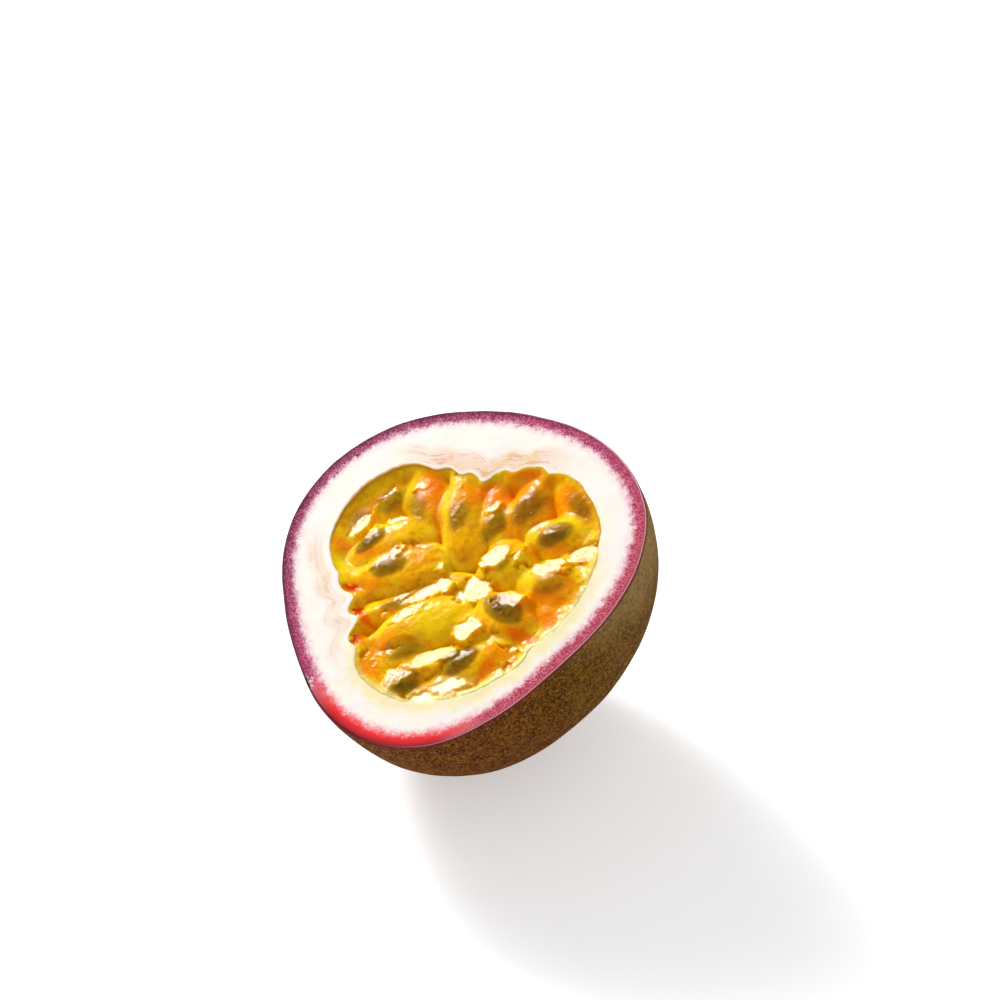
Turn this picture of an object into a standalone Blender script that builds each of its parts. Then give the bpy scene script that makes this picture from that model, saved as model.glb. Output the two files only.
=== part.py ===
"""Half of a purple passion fruit, cut across its middle and lying on its skin.

The half is modelled about the fruit's own axis, with the cut face at height 0 and the blossom end
below it. It is then tipped forward and set down on a small flat spot. In the finished part +Z is
up, the cut face leans towards -Y, and the origin is the middle of the flat spot.
"""

import math
from typing import NamedTuple, Optional

import bmesh
import bpy
from mathutils import Matrix, Vector

MM = 0.001

# The fruit's outside: three lobes round the axis, slightly uneven
RADIUS = 28 * MM
DEPTH = 35 * MM
LOBE = 0.06
UNEVEN = 0.01
UNEVEN_TURN = math.radians(31)
TILT = math.radians(25.25)
FLAT_DEPTH = 0.6 * MM

# The rind and the hollow in it
CAVITY_RADIUS = 21.9 * MM
CAVITY_LOBES = 0.35
FLOOR_THICKNESS = 7 * MM
SKIN_EDGE = 0.35 * MM
STALK_DEPTH = 0.8
SCAR_RADIUS = 1.4 * MM
SCAR_TIP_RADIUS = 1.0 * MM
SCAR_HEIGHT = 0.8 * MM

# The pulp that fills the hollow
CLEARANCE = 0.3 * MM
BED_DEPTH = 2.8 * MM
TRIM_HEIGHT = 6 * MM
SAC_TAPER = 0.2
SAC_FLATNESS = 0.85
SEED_LENGTH = 5.2 * MM
SEED_WIDTH = 3.4 * MM
SEED_THICKNESS = 2.4 * MM
SEED_PROUD = 0.4 * MM

# How finely each surface is divided, and how sharp an edge has to be to show as one
SEGMENTS = 60
OUTER_RINGS = 14
INNER_RINGS = 9
SAC_SIDES = 14
SAC_RINGS = 9
SMALL_SIDES = 10
SMALL_RINGS = 6
ON_AXIS = 0.01 * MM
SHARP_EDGE = math.radians(35)
FACES_DOWN = math.cos(math.radians(0.5))


class Placenta(NamedTuple):
    """A soft ridge down the inner wall that the juice sacs grow from: degrees, millimetres."""

    angle: float
    height: float
    spread: float


PLACENTAE = (
    Placenta(2, 0.3, 25),
    Placenta(124, 6.2, 32),
    Placenta(240, 4.7, 31),
)


class Stalk(NamedTuple):
    """A short white stalk of a juice sac, on the wall at this angle: degrees, millimetres.

    It runs outwards into the wall from reach, the distance of its free end from the axis.
    """

    angle: float
    reach: float
    length: float
    width: float


STALKS = (
    Stalk(93, 18.0, 4.0, 2.4),
    Stalk(119, 14.0, 4.6, 3.0),
    Stalk(147, 16.5, 4.6, 2.2),
    Stalk(239, 14.9, 4.8, 2.2),
    Stalk(256, 15.0, 5.6, 2.4),
    Stalk(266, 17.5, 4.4, 2.0),
    Stalk(354, 19.4, 4.2, 2.2),
)


class Sac(NamedTuple):
    """A juice sac that shows in the cut face: millimetres, degrees.

    x and y are its middle in the face, heading is the way that its free end points, and crown is
    the height of its back above the cut. seed is how far along the sac its seed lies, from -1 at
    the root to 1, or None where the seed is too deep to raise the surface.
    """

    x: float
    y: float
    heading: float
    length: float
    width: float
    crown: float
    seed: Optional[float]


SACS = (
    # From the ridge at 120 degrees
    Sac(-11.9, 4.9, -30, 14.2, 6.4, -0.6, -0.04),
    Sac(-18.4, 1.4, -80, 10.0, 7.6, -2.0, 0.0),
    Sac(-15.6, 6.2, -50, 9.0, 6.2, -1.7, None),
    Sac(-5.5, 6.3, -39, 17.0, 7.0, 0.5, 0.07),
    Sac(-1.3, 9.7, -43, 12.4, 5.4, -0.4, 0.3),
    Sac(1.8, 13.5, -74, 11.4, 7.4, -0.3, 0.0),
    Sac(-2.8, 16.4, 46, 6.4, 4.4, -1.5, None),
    Sac(6.5, 18.4, -22, 12.0, 6.2, -1.1, 0.3),
    # From the ridge at 240 degrees
    Sac(-11.2, -3.4, 55, 14.6, 8.3, 0.4, -0.38),
    Sac(-6.1, -5.4, 47, 16.4, 8.0, 0.6, -0.2),
    Sac(-10.9, -10.0, -8, 8.6, 5.4, -1.3, None),
    Sac(-2.4, -9.9, 54, 9.4, 4.8, -0.7, 0.0),
    Sac(1.2, -4.1, 48, 15.2, 5.2, -0.9, None),
    Sac(3.7, -9.3, 54, 16.8, 8.2, 0.8, None),
    Sac(2.2, -17.8, -1, 11.2, 6.3, -0.8, None),
    Sac(4.9, -14.1, 55, 9.6, 5.0, -0.4, -0.07),
    Sac(7.9, -17.2, 73, 7.2, 5.4, -0.6, -0.1),
    Sac(13.7, -14.4, 52, 8.4, 4.8, -0.6, 0.0),
    Sac(-17.6, -7.6, 122, 7.0, 5.0, -1.8, None),
    Sac(-18.8, -2.4, 87, 6.0, 5.4, -2.1, None),
    # From the ridge at 0 degrees
    Sac(9.0, 13.3, 50, 10.2, 7.0, 0.2, 0.0),
    Sac(14.3, 13.0, 56, 7.0, 5.8, -1.1, None),
    Sac(9.9, -5.4, 80, 6.0, 6.2, 0.3, None),
    Sac(12.7, -0.7, 6, 10.8, 7.2, 0.9, 0.0),
    Sac(14.5, 7.3, 28, 12.4, 8.1, 0.5, 0.0),
    Sac(14.6, -7.8, 61, 13.4, 7.0, 0.1, -0.38),
    Sac(19.0, -6.4, 68, 8.4, 4.9, -1.1, None),
    Sac(18.0, 4.2, 68, 8.0, 6.3, -0.9, None),
    Sac(17.6, -1.6, 78, 7.0, 5.0, -1.2, None),
    Sac(5.8, 4.7, 86, 9.0, 8.3, 0.1, None),
)


# Names and linear colours of what each piece shows
SKIN = ("skin", (0.147, 0.052, 0.045), 0.42)
PITH = ("pith", (0.88, 0.78, 0.66), 0.55)
PULP = ("pulp", (0.80, 0.38, 0.02), 0.16)


def clear_scene():
    for obj in list(bpy.data.objects):
        bpy.data.objects.remove(obj)


def new_collection(name, helpers=False):
    collection = bpy.data.collections.new(name)
    collection.hide_render = helpers
    bpy.context.scene.collection.children.link(collection)
    return collection


def new_material(name, colour, roughness):
    material = bpy.data.materials.new(name)
    material.use_nodes = True
    shader = material.node_tree.nodes["Principled BSDF"]
    shader.inputs["Base Color"].default_value = (*colour, 1)
    shader.inputs["Roughness"].default_value = roughness
    shader.inputs["Metallic"].default_value = 0.0
    return material


def new_object(name, mesh, collection):
    obj = bpy.data.objects.new(name, mesh)
    collection.objects.link(obj)
    return obj


def object_from_bmesh(name, bm, collection):
    mesh = bpy.data.meshes.new(name)
    bm.to_mesh(mesh)
    bm.free()
    return new_object(name, mesh, collection)


def apply_modifiers(obj):
    """Keeps the mesh that the modifiers make, and drops the modifiers."""
    graph = bpy.context.evaluated_depsgraph_get()
    graph.update()
    mesh = bpy.data.meshes.new_from_object(obj.evaluated_get(graph))
    obj.modifiers.clear()
    obj.data = mesh


def combine(obj, operation, operand):
    """Applies a Boolean with one object, or with all the objects of a collection."""
    modifier = obj.modifiers.new(operation.lower(), "BOOLEAN")
    modifier.operation = operation
    modifier.solver = "EXACT"
    if isinstance(operand, bpy.types.Collection):
        modifier.operand_type = "COLLECTION"
        modifier.collection = operand
    else:
        modifier.object = operand
    apply_modifiers(obj)


def keep_one_body(obj):
    """Drops loose scraps and the shells of sealed hollows, and so fills the hollows."""
    bm = bmesh.new()
    bm.from_mesh(obj.data)
    waiting = set(bm.verts)
    bodies = []
    while waiting:
        edge_of_body = [waiting.pop()]
        body = list(edge_of_body)
        while edge_of_body:
            vertex = edge_of_body.pop()
            near = {edge.other_vert(vertex) for edge in vertex.link_edges} & waiting
            waiting -= near
            edge_of_body.extend(near)
            body.extend(near)
        bodies.append(body)
    bodies.sort(key=len)
    for body in bodies[:-1]:
        bmesh.ops.delete(bm, geom=body, context="VERTS")
    bm.to_mesh(obj.data)
    bm.free()


def remove_with_objects(collection):
    for obj in list(collection.objects):
        bpy.data.objects.remove(obj)
    bpy.data.collections.remove(collection)


# The fruit's form

def lobed(angle, roundness):
    """What a radius is multiplied by at this angle. The lobes fade as roundness goes to 0."""
    lobes = -LOBE * math.cos(3 * angle)
    uneven = UNEVEN * math.cos(4 * (angle - UNEVEN_TURN))
    return 1 + roundness * (lobes + uneven)


def ridge_height(angle):
    """How far the ridges stand in from the hollow's wall at this angle."""
    height = 0.0
    for placenta in PLACENTAE:
        away = math.remainder(angle - math.radians(placenta.angle), math.tau)
        share = away / math.radians(placenta.spread)
        height += placenta.height * MM * math.exp(-share * share)
    return height


def bowl(radius, depth, rings):
    """The profile of a bowl, as (radius, height), from below its rim down to the axis."""
    turns = (math.pi / 2 * ring / rings for ring in range(1, rings + 1))
    return [(radius * math.cos(turn), -depth * math.sin(turn)) for turn in turns]


def turned(name, profile, collection):
    """A closed solid turned about the fruit's axis. Its profile runs from the top down."""
    mesh = bpy.data.meshes.new(name)
    edges = [(i, i + 1) for i in range(len(profile) - 1)]
    mesh.from_pydata([(radius, 0, height) for radius, height in profile], edges, [])
    obj = new_object(name, mesh, collection)
    screw = obj.modifiers.new("turn", "SCREW")
    screw.steps = SEGMENTS
    screw.render_steps = SEGMENTS
    screw.use_merge_vertices = True
    screw.merge_threshold = ON_AXIS
    apply_modifiers(obj)
    return obj


def reshape(mesh, depth, wanted_radius):
    """Moves each point of a turned mesh to the radius that wanted_radius gives for it."""
    for vertex in mesh.vertices:
        radius = math.hypot(vertex.co.x, vertex.co.y)
        if radius < ON_AXIS:
            continue
        share = min(1, max(0, -vertex.co.z) / depth)
        roundness = math.sqrt(1 - share * share)
        wanted = wanted_radius(radius, math.atan2(vertex.co.y, vertex.co.x), roundness)
        vertex.co.x *= wanted / radius
        vertex.co.y *= wanted / radius


def outside_radius(radius, angle, roundness):
    return radius * lobed(angle, roundness)


def cavity_radius(radius, angle, roundness):
    """The hollow's lobes are softer, and its ridges die out towards the floor."""
    return radius * lobed(angle, roundness * CAVITY_LOBES) - ridge_height(angle) * roundness ** 2


def hollow_shape(name, top, inset, collection):
    """The space inside the rind, made smaller all round by the inset and closed at the top."""
    radius = CAVITY_RADIUS - inset
    floor = DEPTH - FLOOR_THICKNESS - inset
    profile = [(0, top), (radius, top), (radius, 0)] + bowl(radius, floor, INNER_RINGS)
    obj = turned(name, profile, collection)
    reshape(obj.data, floor, cavity_radius)
    return obj


# The small round bodies: sacs, seeds and stalks

def drop_shape(length, width, thickness, taper, sides, rings):
    """A long rounded body along X, slimmer at its -X end by the taper and fuller at the other."""
    bm = bmesh.new()
    bmesh.ops.create_uvsphere(bm, u_segments=sides, v_segments=rings, radius=0.5)
    bmesh.ops.rotate(bm, verts=bm.verts, matrix=Matrix.Rotation(math.pi / 2, 3, "Y"))
    for vertex in bm.verts:
        fullness = 1 + 2 * taper * vertex.co.x
        vertex.co.y *= fullness
        vertex.co.z *= fullness
    bmesh.ops.scale(bm, verts=bm.verts, vec=(length, width, thickness))
    return bm


def set_down(bm, place, heading):
    turn = Matrix.Rotation(heading, 4, "Z")
    bmesh.ops.transform(bm, matrix=Matrix.Translation(place) @ turn, verts=bm.verts)


def add_sac(sac, number, collection):
    thickness = SAC_FLATNESS * sac.width * MM
    bm = drop_shape(sac.length * MM, sac.width * MM, thickness, SAC_TAPER, SAC_SIDES, SAC_RINGS)
    place = Vector((sac.x * MM, sac.y * MM, sac.crown * MM - thickness / 2))
    set_down(bm, place, math.radians(sac.heading))
    object_from_bmesh(f"sac_{number}", bm, collection)


def add_seed(sac, number, collection):
    """The seed lies under the sac's back, which it raises a little."""
    heading = math.radians(sac.heading)
    half_thickness = SAC_FLATNESS * sac.width * MM / 2
    back = half_thickness * (1 + SAC_TAPER * sac.seed) * math.sqrt(1 - sac.seed ** 2)
    along = sac.seed * sac.length * MM / 2
    place = Vector((
        sac.x * MM + along * math.cos(heading),
        sac.y * MM + along * math.sin(heading),
        sac.crown * MM - half_thickness + back + SEED_PROUD - SEED_THICKNESS / 2,
    ))
    bm = drop_shape(SEED_LENGTH, SEED_WIDTH, SEED_THICKNESS, 0, SMALL_SIDES, SMALL_RINGS)
    set_down(bm, place, heading)
    object_from_bmesh(f"seed_{number}", bm, collection)


def stalks(name, grown):
    """All the stalks, each one larger all round by this much.

    A stalk's middle lies STALK_DEPTH of its width below the cut.
    """
    collection = new_collection(name, helpers=True)
    for number, stalk in enumerate(STALKS):
        width = stalk.width * MM + 2 * grown
        length = stalk.length * MM + 2 * grown
        bm = drop_shape(length, width, width, 0, SMALL_SIDES, SMALL_RINGS)
        angle = math.radians(stalk.angle)
        middle = (stalk.reach + stalk.length / 2) * MM
        depth = STALK_DEPTH * stalk.width * MM
        place = Vector((middle * math.cos(angle), middle * math.sin(angle), -depth))
        set_down(bm, place, angle)
        object_from_bmesh(f"{name}_{number}", bm, collection)
    return collection


# The rind: skin and pith in one piece, with the ridges and the stalks on its inner wall

def build_rind(fruit, cutters):
    rim = [(0, 0), (RADIUS - SKIN_EDGE, 0), (RADIUS, -SKIN_EDGE)]
    outside = bowl(RADIUS, DEPTH, OUTER_RINGS)[:-1]
    tip = -DEPTH - SCAR_HEIGHT
    scar = [(SCAR_RADIUS, -DEPTH), (SCAR_TIP_RADIUS, tip), (0, tip)]
    rind = turned("rind", rim + outside + scar, fruit)
    reshape(rind.data, DEPTH, outside_radius)

    hollow = hollow_shape("hollow", TRIM_HEIGHT, 0, cutters)
    combine(rind, "DIFFERENCE", hollow)
    wall_stalks = stalks("stalk", 0)
    combine(rind, "UNION", wall_stalks)
    remove_with_objects(wall_stalks)
    return rind


# The pulp: the juice sacs and their seeds, all grown together over the bed that fills the hollow

def build_pulp(fruit, cutters):
    bm = bmesh.new()
    bmesh.ops.create_cone(
        bm,
        cap_ends=True,
        segments=SEGMENTS,
        radius1=RADIUS,
        radius2=RADIUS,
        depth=DEPTH,
        matrix=Matrix.Translation((0, 0, -BED_DEPTH - DEPTH / 2)),
    )
    pulp = object_from_bmesh("pulp", bm, fruit)

    sacs = new_collection("sacs", helpers=True)
    for number, sac in enumerate(SACS):
        add_sac(sac, number, sacs)
        if sac.seed is not None:
            add_seed(sac, number, sacs)
    combine(pulp, "UNION", sacs)
    remove_with_objects(sacs)

    mould = hollow_shape("mould", TRIM_HEIGHT, CLEARANCE, cutters)
    combine(pulp, "INTERSECT", mould)
    spaces = stalks("space", CLEARANCE)
    combine(pulp, "DIFFERENCE", spaces)
    remove_with_objects(spaces)
    keep_one_body(pulp)
    return pulp


# Materials and shading

def finish_surface(obj, materials):
    """Smooth shading on the round faces, and the object's own materials."""
    for material in materials:
        obj.data.materials.append(new_material(*material))
    obj.data.shade_smooth()
    obj.data.set_sharp_from_angle(angle=SHARP_EDGE)


def colour_cut(rind):
    """Gives the cut face and the inner wall the pith's material."""
    for face in rind.data.polygons:
        outward = face.normal.x * face.center.x + face.normal.y * face.center.y
        on_cut = face.center.z > -SKIN_EDGE / 4
        on_wall = face.center.z > -DEPTH + FLOOR_THICKNESS - MM and outward < 0
        face.material_index = int(on_cut or on_wall)


# Tipping the half forward and setting it down on its flat spot

def floor_block(top, cutters):
    bm = bmesh.new()
    bmesh.ops.create_cube(bm, size=2 * DEPTH)
    bmesh.ops.translate(bm, verts=bm.verts, vec=(0, 0, top - DEPTH))
    return object_from_bmesh("floor_block", bm, cutters)


def set_on_flat(fruit, rind, pulp, cutters):
    tip = Matrix.Rotation(TILT, 3, "X")
    lowest = min((tip @ vertex.co).z for vertex in rind.data.vertices)
    block = floor_block(lowest + FLAT_DEPTH, cutters)
    block.rotation_euler.x = -TILT
    combine(rind, "DIFFERENCE", block)
    down = tip.transposed() @ Vector((0, 0, -1))
    facing_down = [face for face in rind.data.polygons if face.normal.dot(down) > FACES_DOWN]
    flat = max(facing_down, key=lambda face: face.area)

    stand = bpy.data.objects.new("stand", None)
    fruit.objects.link(stand)
    stand.rotation_euler.x = TILT
    stand.location = -(tip @ flat.center)
    for obj in (rind, pulp, block):
        obj.parent = stand


def main():
    clear_scene()
    fruit = new_collection("passion_fruit_half")
    cutters = new_collection("cutters", helpers=True)
    rind = build_rind(fruit, cutters)
    pulp = build_pulp(fruit, cutters)
    set_on_flat(fruit, rind, pulp, cutters)
    finish_surface(rind, [SKIN, PITH])
    colour_cut(rind)
    finish_surface(pulp, [PULP])
    for cutter in cutters.objects:
        cutter.hide_render = True
        cutter.display_type = "WIRE"


main()
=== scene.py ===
import math

import bmesh
import bpy
import numpy as np
from mathutils import Matrix, Vector, noise


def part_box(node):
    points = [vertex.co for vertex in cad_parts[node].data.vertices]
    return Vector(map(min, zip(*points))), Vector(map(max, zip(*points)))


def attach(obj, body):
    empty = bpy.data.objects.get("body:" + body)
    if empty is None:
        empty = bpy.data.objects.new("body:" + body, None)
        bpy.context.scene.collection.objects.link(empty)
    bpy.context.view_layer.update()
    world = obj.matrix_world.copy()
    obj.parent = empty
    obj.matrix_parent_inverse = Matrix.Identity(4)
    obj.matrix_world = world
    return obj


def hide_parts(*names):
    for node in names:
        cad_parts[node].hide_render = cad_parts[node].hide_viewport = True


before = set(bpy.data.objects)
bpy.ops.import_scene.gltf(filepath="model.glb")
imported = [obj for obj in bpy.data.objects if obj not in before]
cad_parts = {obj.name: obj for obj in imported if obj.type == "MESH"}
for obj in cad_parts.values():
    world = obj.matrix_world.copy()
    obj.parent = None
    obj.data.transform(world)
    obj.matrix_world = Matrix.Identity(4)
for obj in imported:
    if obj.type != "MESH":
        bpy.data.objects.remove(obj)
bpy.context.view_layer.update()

# The camera
# The half is seen from in front of its leaning cut face, half from above. The view is given by
# where the middle of the cut face lies from the camera, and is the same in a square picture.
MM = 0.001
VIEW_AZIMUTH = math.radians(51.355)
VIEW_ELEVATION = math.radians(40)
LENS = 100
SENSOR = 36
FACE_FROM_CAMERA = Vector((-6.97, -9.14, -400.28)) * MM
TILT = math.radians(25.25)
RADIUS = 28
LOBE = 0.06
UNEVEN = 0.01
UNEVEN_TURN = math.radians(31)
SKIN_EDGE = 0.35


def lobed(angle, roundness):
    """What a radius is multiplied by at this angle. The lobes fade as roundness goes to 0."""
    lobes = -LOBE * np.cos(3 * angle)
    uneven = UNEVEN * np.cos(4 * (angle - UNEVEN_TURN))
    return 1 + roundness * (lobes + uneven)


def middle_of_face():
    """Where the fruit's axis meets the cut, from the lobed rim and the rind's box."""
    low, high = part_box("rind")
    angle = np.linspace(0, math.tau, 60, endpoint=False)
    across = RADIUS * lobed(angle, 1)
    inner = (RADIUS - SKIN_EDGE) * lobed(angle, 1)
    left = (across * np.cos(angle)).min()
    front = (across * np.sin(angle)).min() * math.cos(TILT) + SKIN_EDGE * math.sin(TILT)
    top = (inner * np.sin(angle)).max() * math.sin(TILT)
    return Vector((low.x - left * MM, low.y - front * MM, high.z - top * MM))


face_middle = middle_of_face()
right = Vector((math.cos(VIEW_AZIMUTH), math.sin(VIEW_AZIMUTH), 0))
back = Vector((
    math.sin(VIEW_AZIMUTH) * math.cos(VIEW_ELEVATION),
    -math.cos(VIEW_AZIMUTH) * math.cos(VIEW_ELEVATION),
    math.sin(VIEW_ELEVATION),
))
view_axes = Matrix((right, back.cross(right), back)).transposed()
camera = bpy.data.objects.new("camera", bpy.data.cameras.new("camera"))
bpy.context.collection.objects.link(camera)
camera.data.lens = LENS
camera.data.sensor_width = SENSOR
camera.data.clip_start = 10 * MM
camera.matrix_world = Matrix.Translation(face_middle - view_axes @ FACE_FROM_CAMERA) @ view_axes.to_4x4()
bpy.context.scene.camera = camera


# The light
# A white studio: a pale dome all round, a bright softbox far over on the left that gives the wet
# pulp its white highlights and dims toward its edge, and a weak one for the skin on the near side.
DOME_STRENGTH = 0.44
KEY_SIDE = (-0.844, 0.008, 0.537)
SOFTBOXES = (
    # Name, direction to it from the fruit, distance, width, height, power in watts
    ("key", KEY_SIDE, 1.20, 0.28, 0.28, 6.2),
    ("key_glow", KEY_SIDE, 1.22, 0.44, 0.44, 6.1),
    ("key_spill", KEY_SIDE, 1.24, 0.72, 0.72, 6.5),
    ("right", (0.75, 0.45, 0.40), 0.70, 0.30, 0.30, 0.3),
)

scene = bpy.context.scene
scene.view_settings.view_transform = "Standard"
scene.world = bpy.data.worlds.new("studio")
scene.world.use_nodes = True
dome = scene.world.node_tree.nodes["Background"]
dome.inputs["Color"].default_value = (1, 1, 1, 1)
dome.inputs["Strength"].default_value = DOME_STRENGTH

for name, direction, distance, width, height, power in SOFTBOXES:
    box = bpy.data.lights.new(name, "AREA")
    box.shape = "RECTANGLE"
    box.size = width
    box.size_y = height
    box.energy = power
    lamp = bpy.data.objects.new(name, box)
    lamp.location = face_middle + Vector(direction).normalized() * distance
    lamp.rotation_euler = Vector(direction).to_track_quat("Z", "Y").to_euler()
    bpy.context.collection.objects.link(lamp)


# The floor
# A sheet of matt white paper, far wider than the picture, which isn't part of the fruit.
class Signal:
    """A socket that carries a number over a surface. Arithmetic on it adds Math nodes."""

    def __init__(self, finish, socket):
        self.finish = finish
        self.socket = socket

    def __add__(self, other):
        return self.finish.math("ADD", self, other)

    def __radd__(self, other):
        return self.finish.math("ADD", other, self)

    def __sub__(self, other):
        return self.finish.math("SUBTRACT", self, other)

    def __rsub__(self, other):
        return self.finish.math("SUBTRACT", other, self)

    def __mul__(self, other):
        return self.finish.math("MULTIPLY", self, other)

    def __rmul__(self, other):
        return self.finish.math("MULTIPLY", other, self)

    def least(self, other):
        """The lesser of the two."""
        return self.finish.math("MINIMUM", self, other)

    def most(self, other):
        """The greater of the two."""
        return self.finish.math("MAXIMUM", self, other)

    def rising(self, low, high):
        """0 below low, 1 above high, and a smooth rise between. It falls where high is the lower."""
        return self.finish.add(
            "ShaderNodeMapRange",
            {"interpolation_type": "SMOOTHSTEP"},
            {"Value": self, "From Min": low, "From Max": high},
        )


class Finish:
    """A material that is being made up, with the one way to add a node to it."""

    def __init__(self, name, **constants):
        self.material = bpy.data.materials.new(name)
        self.material.use_nodes = True
        self.nodes = self.material.node_tree.nodes
        self.shader = self.nodes["Principled BSDF"]
        self.fill(self.shader, {key.replace("_", " "): value for key, value in constants.items()})

    def fill(self, node, sockets):
        """Give a node's sockets their values or links."""
        for key, value in sockets.items():
            if isinstance(value, Signal):
                self.material.node_tree.links.new(value.socket, node.inputs[key])
            else:
                node.inputs[key].default_value = value

    def add(self, kind, settings=None, sockets=None, out=0):
        """A node of this kind with its settings first, then its sockets. Gives its output."""
        node = self.nodes.new(kind)
        for key, value in (settings or {}).items():
            setattr(node, key, value)
        self.fill(node, sockets or {})
        return Signal(self, node.outputs[out])

    def math(self, operation, *operands):
        """A Math node on numbers or signals."""
        return self.add("ShaderNodeMath", {"operation": operation}, dict(enumerate(operands)))

    def mix(self, share, first, second, blend="MIX"):
        """The first colour where share is 0, the second, or the first times it, where it is 1."""
        first, second = ((*c, 1) if isinstance(c, tuple) else c for c in (first, second))
        settings = {"data_type": "RGBA", "blend_type": blend}
        return self.add("ShaderNodeMix", settings, {0: share, 6: first, 7: second}, 2)

    def surface(self, **signals):
        """The finished material, once what changes over the surface is joined to its shader."""
        self.fill(self.shader, {key.replace("_", " "): value for key, value in signals.items()})
        return self.material


FLOOR_SIZE = 6
PAPER_GLOW = 0.42
PAPER_GRAIN = {"Scale": 900.0, "Detail": 2.0}
PAPER_WHITE = ((0.93, 0.93, 0.93), (0.96, 0.96, 0.96))

bm = bmesh.new()
bmesh.ops.create_grid(bm, x_segments=1, y_segments=1, size=FLOOR_SIZE / 2)
floor_mesh = bpy.data.meshes.new("floor")
bm.to_mesh(floor_mesh)
bm.free()
floor = bpy.data.objects.new("floor", floor_mesh)
bpy.context.collection.objects.link(floor)
paper = Finish("paper", Roughness=0.9, Specular_IOR_Level=0.1, Emission_Strength=PAPER_GLOW)
paper.shader.inputs["Emission Color"].default_value = (1, 1, 1, 1)
grain = paper.add("ShaderNodeTexNoise", None, PAPER_GRAIN)
floor_mesh.materials.append(paper.surface(Base_Color=paper.mix(grain, *PAPER_WHITE)))


# The rind
# The tough skin with the spongy white pith grown to it, cut straight across with a knife. Its
# inner wall swells into the ridges that the juice sacs grow from, with their short white stalks.
DEPTH = 35
CAVITY_RADIUS = 21.9
CAVITY_LOBES = 0.35
FLOOR_THICKNESS = 7
PLACENTAE = (
    # Angle and spread in degrees, height
    (2, 25, 0.3),
    (124, 32, 6.2),
    (240, 31, 4.7),
)
STALKS = (
    # Angle and half width in degrees, how far it stands in from the wall
    (88, 3.5, 0.9),
    (104, 3.0, 0.7),
    (119, 5.0, 1.5),
    (134, 3.5, 0.6),
    (148, 4.5, 1.0),
    (222, 4.0, 0.6),
    (237, 4.5, 1.5),
    (252, 4.5, 1.9),
    (266, 4.0, 1.1),
    (2, 3.5, 0.6),
    (354, 3.5, 0.8),
)
STALK_DEPTH = 3.5
CUT_ROUND = 0.2
TURN_STEPS = 384
SKIN_STEPS = 120
LIP_STEPS = 7
CUT_STEPS = 30
EDGE_STEPS = 5
WALL_STEPS = 34
SCAR_RADIUS = 1.4
SCAR_HEIGHT = 0.8
NICK_ANGLE = 263.5
NICK_SPREAD = 2.6
NICK_WIDTH = 1.1
NICK_DEPTH = 0.7
LIP_SKIN_TURN = math.radians(50)

# Unevenness that grows in: height and size of its lumps in millimetres, and seed
WALL_WAVES = ((0.25, 3.0, 2), (0.10, 1.0, 3))
RIM_WAVES = ((0.16, 7, 1), (0.05, 1.6, 8))
RIM_INSET = 0.21
SKIN_WAVES = ((0.16, 7, 1), (0.03, 2.5, 4))
SKIN_INSET = 0.19
CUT_WAVES = ((0.06, 4, 5), (0.03, 1.1, 6))
CUT_INSET = 0.06


def gap_between(angle, middle):
    """The signed angle in degrees from middle, which is in degrees too."""
    return (np.degrees(angle) - middle + 180) % 360 - 180


def ridge_height(angle):
    """How far the ridges stand in from the hollow's wall at this angle."""
    height = 0
    for middle, spread, rise in PLACENTAE:
        height = height + rise * np.exp(-(gap_between(angle, middle) / spread) ** 2)
    return height


def stalk_reach(angle):
    """How far the stalks stand in from the wall at this angle, just under the cut."""
    reach = 0
    for middle, spread, stand in STALKS:
        reach = reach + stand * np.exp(-(gap_between(angle, middle) / spread) ** 2)
    return reach


def wobble(points, size, seed):
    """Smooth noise from about -1 to 1 at these points, in lumps of this size in millimetres."""
    shift = Vector((seed * 17.3, seed * 5.1, seed * 9.7))
    return np.array([noise.noise(Vector(point) / size + shift) for point in points])


def wobbles(points, waves):
    """Several such noises on top of each other, each by its height, lump size and seed."""
    return sum(rise * wobble(points, size, seed) for rise, size, seed in waves)


def ring(angle, radius):
    """Points on a flat circle at these angles."""
    return np.stack([np.cos(angle), np.sin(angle), 0 * angle], 1) * radius


def ragged_line(angle):
    """How far the hollow's wall strays from its even curve at this angle."""
    return wobbles(ring(angle, 22), WALL_WAVES)


def rind_profile():
    """The stretches of the section: where each point is along its own stretch, radius, height."""
    for turn in np.linspace(math.pi / 2, 0, SKIN_STEPS, endpoint=False):
        yield "skin", turn, RADIUS * math.cos(turn), -DEPTH * math.sin(turn)
    for turn in np.linspace(0, math.pi / 2, LIP_STEPS):
        yield "lip", turn, RADIUS, 0
    for share in np.linspace(0, 1, CUT_STEPS)[1:-1]:
        yield "cut", share, RADIUS, 0
    for turn in np.linspace(0, math.pi / 2, EDGE_STEPS):
        yield "edge", turn, RADIUS, 0
    for share in np.linspace(0, 1, WALL_STEPS)[1:]:
        yield "wall", share, RADIUS * (1 - share), 0


def read_vertices(mesh):
    """The places of a mesh's vertices, one row each."""
    co = np.empty(len(mesh.vertices) * 3)
    mesh.vertices.foreach_get("co", co)
    return co.reshape(-1, 3)


def stand_in_part(co):
    """Turn places measured from the cut face, in millimetres, into places in the part."""
    turned = (co * MM) @ np.array(Matrix.Rotation(TILT, 3, "X")).T
    return turned + np.array(face_middle)


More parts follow.
